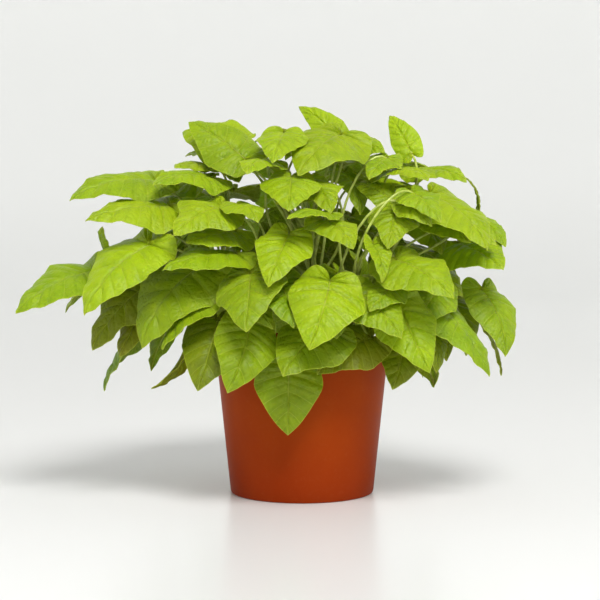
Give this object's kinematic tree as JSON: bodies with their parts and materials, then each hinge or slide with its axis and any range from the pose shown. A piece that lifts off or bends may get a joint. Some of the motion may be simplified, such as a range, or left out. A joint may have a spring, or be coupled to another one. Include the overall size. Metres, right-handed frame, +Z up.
{
  "type": "potted sweet potato vine",
  "caption": "Bushy ornamental sweet potato vine with lime-green heart-shaped leaves on long petioles, growing in a plain tapered terracotta-coloured plastic pot",
  "frame": {"origin": "The centre of the pot's base, on the surface that it stands on", "axes": "+Z up along the pot's axis; the front of the plant, as the picture shows it, faces -Y; +X is to the right of the front"},
  "size_m": [0.432, 0.3496, 0.3428],
  "materials": {
    "terracotta_plastic": "satin",
    "dark_mix": "matte",
    "vine_green": "satin"
  },
  "bodies": {
    "root": {"pot": "terracotta_plastic", "potting_mix": "dark_mix", "vine_front": "vine_green", "vine_right_front": "vine_green", "vine_right": "vine_green", "vine_right_back": "vine_green", "vine_back": "vine_green", "vine_left_back": "vine_green", "vine_left": "vine_green", "vine_left_front": "vine_green", "vine_crown": "vine_green"}
  },
  "joints": []
}
